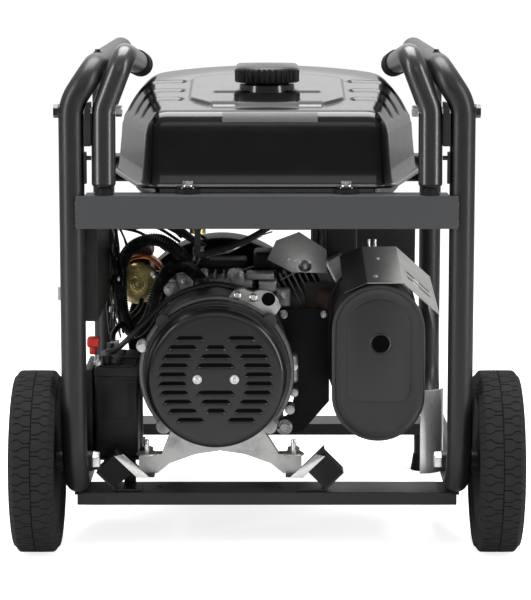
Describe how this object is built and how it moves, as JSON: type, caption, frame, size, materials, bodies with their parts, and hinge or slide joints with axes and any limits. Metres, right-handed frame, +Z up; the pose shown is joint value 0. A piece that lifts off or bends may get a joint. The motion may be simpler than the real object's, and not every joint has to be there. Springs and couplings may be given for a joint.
{
  "type": "portable generator",
  "caption": "Open-frame portable generator on two wheels: tube frame with folding handles, tank on top, horizontal engine, alternator, side muffler, battery and control panel.",
  "frame": {"origin": "on the floor, under the middle of the whole object", "axes": "-Y towards the alternator end with the wheels, +X to its right, +Z up"},
  "size_m": [0.6908, 0.7316, 0.6986],
  "materials": {
    "frame_black": "satin",
    "plate_grey": "satin",
    "tank_black": "gloss",
    "black_plastic": "satin",
    "grip_rubber": "matte",
    "tyre_rubber": "matte",
    "zinc": "satin",
    "cast_alloy": "satin",
    "dark_steel": "satin",
    "heat_paint": "satin",
    "winding": "satin",
    "brass": "satin",
    "red_plastic": "gloss",
    "socket_blue": "gloss",
    "rust_steel": "matte"
  },
  "bodies": {
    "generator": {"frame_left": "frame_black", "frame_right": "frame_black", "cross_plate": "plate_grey", "rear_plate": "frame_black", "crossbars": "frame_black", "rear_legs": "frame_black", "rear_feet": "grip_rubber", "handle_brackets": "frame_black", "pivot_bolts": "zinc", "axle_brackets": "frame_black", "stub_axles": "zinc", "fuel_tank": "tank_black", "zinc_bolts": "zinc", "rubber_buffers": "grip_rubber", "filler_strainer": "black_plastic", "fuel_valve": "brass", "fuel_hose": "grip_rubber", "alternator_cover": "black_plastic", "alternator_bracket": "cast_alloy", "stator": "dark_steel", "crankcase": "cast_alloy", "engine_cylinder": "cast_alloy", "valve_cover": "cast_alloy", "head_deflector": "dark_steel", "engine_plugs": "black_plastic", "fan_shroud": "black_plastic", "air_cleaner": "black_plastic", "carburetor": "cast_alloy", "starter_motor": "dark_steel", "muffler": "heat_paint", "muffler_shield": "heat_paint", "exhaust_pipe": "rust_steel", "battery": "black_plastic", "battery_tray": "frame_black", "wiring": "grip_rubber", "control_box": "black_plastic", "socket_outlets": "socket_blue", "mount_brackets": "frame_black"},
    "wheel_left": {"tyre_left": "tyre_rubber", "rim_left": "black_plastic"},
    "wheel_right": {"tyre_right": "tyre_rubber", "rim_right": "black_plastic"},
    "carry_handle_left": {"handle_left": "frame_black", "grip_left": "grip_rubber"},
    "carry_handle_right": {"handle_right": "frame_black", "grip_right": "grip_rubber"},
    "latch_left": {"latch_left": "zinc"},
    "latch_right": {"latch_right": "zinc"},
    "shaft": {"crankshaft": "dark_steel", "rotor": "winding", "flywheel": "dark_steel"},
    "recoil_grip": {"recoil_grip": "black_plastic"},
    "recoil_reel": {"recoil_reel": "black_plastic"},
    "piston": {"piston": "cast_alloy"},
    "fuel_cap": {"fuel_cap": "black_plastic"},
    "fuel_lever": {"fuel_lever": "black_plastic"},
    "choke_lever": {"choke_lever": "black_plastic"},
    "governor_arm": {"governor_arm": "zinc"},
    "breaker_switch": {"breaker_switch": "red_plastic"},
    "engine_key": {"engine_key": "zinc"}
  },
  "joints": [
    {"name": "wheel_left_spin", "type": "hinge", "parent": "generator", "child": "wheel_left", "pos_m": [-0.315, -0.2408, 0.125], "axis": [1, 0, 0], "continuous": true},
    {"name": "wheel_right_spin", "type": "hinge", "parent": "generator", "child": "wheel_right", "pos_m": [0.315, -0.2408, 0.125], "axis": [1, 0, 0], "continuous": true},
    {"name": "handle_left_swing", "type": "hinge", "parent": "generator", "child": "carry_handle_left", "pos_m": [-0.217, -0.2982, 0.61], "axis": [1, 0, 0], "range_deg": [0, 105]},
    {"name": "handle_right_swing", "type": "hinge", "parent": "generator", "child": "carry_handle_right", "pos_m": [0.217, -0.2982, 0.61], "axis": [1, 0, 0], "range_deg": [0, 105]},
    {"name": "latch_left_press", "type": "slide", "parent": "generator", "child": "latch_left", "axis": [1, 0, 0], "range_m": [0, 0.005], "stiffness_N_per_m": 300},
    {"name": "latch_right_press", "type": "slide", "parent": "generator", "child": "latch_right", "axis": [-1, 0, 0], "range_m": [0, 0.005], "stiffness_N_per_m": 300},
    {"name": "shaft_spin", "type": "hinge", "parent": "generator", "child": "shaft", "pos_m": [-0.07, 0.0238, 0.24], "axis": [0, 1, 0], "continuous": true},
    {"name": "reel_spin", "type": "hinge", "parent": "generator", "child": "recoil_reel", "pos_m": [-0.07, 0.2668, 0.24], "axis": [0, 1, 0], "range_deg": [0, 982], "stiffness_Nm_per_rad": 0.05},
    {"name": "rope_pull", "type": "slide", "parent": "generator", "child": "recoil_grip", "axis": [-1, 0, 0], "range_m": [0, 0.6]},
    {"name": "piston_stroke", "type": "slide", "parent": "generator", "child": "piston", "axis": [0.891, 0, 0.454], "range_m": [-0.03, 0.03]},
    {"name": "cap_lift", "type": "slide", "parent": "generator", "child": "fuel_cap", "axis": [0, 0, 1], "range_m": [0, 0.04]},
    {"name": "valve_turn", "type": "hinge", "parent": "generator", "child": "fuel_lever", "pos_m": [-0.096, -0.1872, 0.444], "axis": [0, -1, 0], "range_deg": [0, 90]},
    {"name": "choke_turn", "type": "hinge", "parent": "generator", "child": "choke_lever", "pos_m": [0.10658, 0.181, 0.31672], "axis": [1, 0, 0], "range_deg": [-55, 0]},
    {"name": "governor_turn", "type": "hinge", "parent": "generator", "child": "governor_arm", "pos_m": [-0.042, 0.0438, 0.328], "axis": [0, 0, 1], "range_deg": [-12, 12], "stiffness_Nm_per_rad": 0.05},
    {"name": "breaker_rock", "type": "hinge", "parent": "generator", "child": "breaker_switch", "pos_m": [-0.2664, -0.25, 0.425], "axis": [0, 1, 0], "range_deg": [-12, 12]},
    {"name": "key_turn", "type": "hinge", "parent": "generator", "child": "engine_key", "pos_m": [-0.2664, -0.251, 0.359], "axis": [1, 0, 0], "range_deg": [0, 90]}
  ],
  "couplings": [
    {"joint": "rope_pull", "follows": "reel_spin", "m_per_rad": 0.035}
  ]
}
